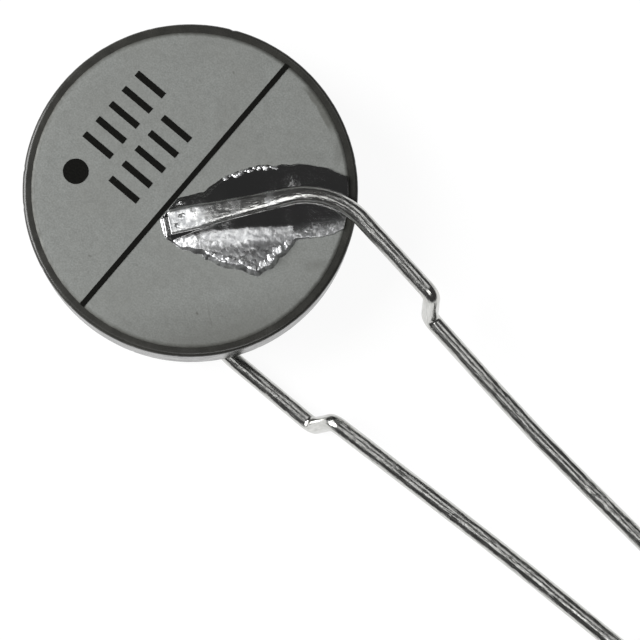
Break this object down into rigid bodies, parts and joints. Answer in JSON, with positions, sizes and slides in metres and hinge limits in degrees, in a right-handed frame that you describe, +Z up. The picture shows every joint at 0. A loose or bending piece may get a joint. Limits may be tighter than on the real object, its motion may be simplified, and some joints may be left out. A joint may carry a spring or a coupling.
{
  "type": "ptc thermistor",
  "caption": "Uncoated disc resistor that rises in resistance when hot: a silvered ceramic disc with a kinked wire lead soldered to each face.",
  "frame": {"origin": "bottom centre of the whole part as it lies on its back lead", "axes": "+X from the disc to the cut ends of the leads, +Z up out of the disc's printed face"},
  "size_m": [0.0354, 0.0116, 0.004],
  "materials": {
    "ceramic": "matte, dark",
    "silver": "fired silver, matte",
    "solder": "bright, mottled",
    "tinned_wire": "bright tin, drawn",
    "ink": "matte black print"
  },
  "bodies": {
    "root": {"ceramic_disc": "ceramic", "front_electrode": "silver", "back_electrode": "silver", "front_solder": "solder", "back_solder": "solder", "front_lead": "tinned_wire", "back_lead": "tinned_wire", "print_line": "ink", "print_dot": "ink", "print_bar_inner_1": "ink", "print_bar_inner_2": "ink", "print_bar_inner_3": "ink", "print_bar_inner_4": "ink", "print_bar_inner_5": "ink", "print_bar_outer_1": "ink", "print_bar_outer_2": "ink", "print_bar_outer_3": "ink", "print_bar_outer_4": "ink", "print_bar_outer_5": "ink"}
  },
  "joints": []
}
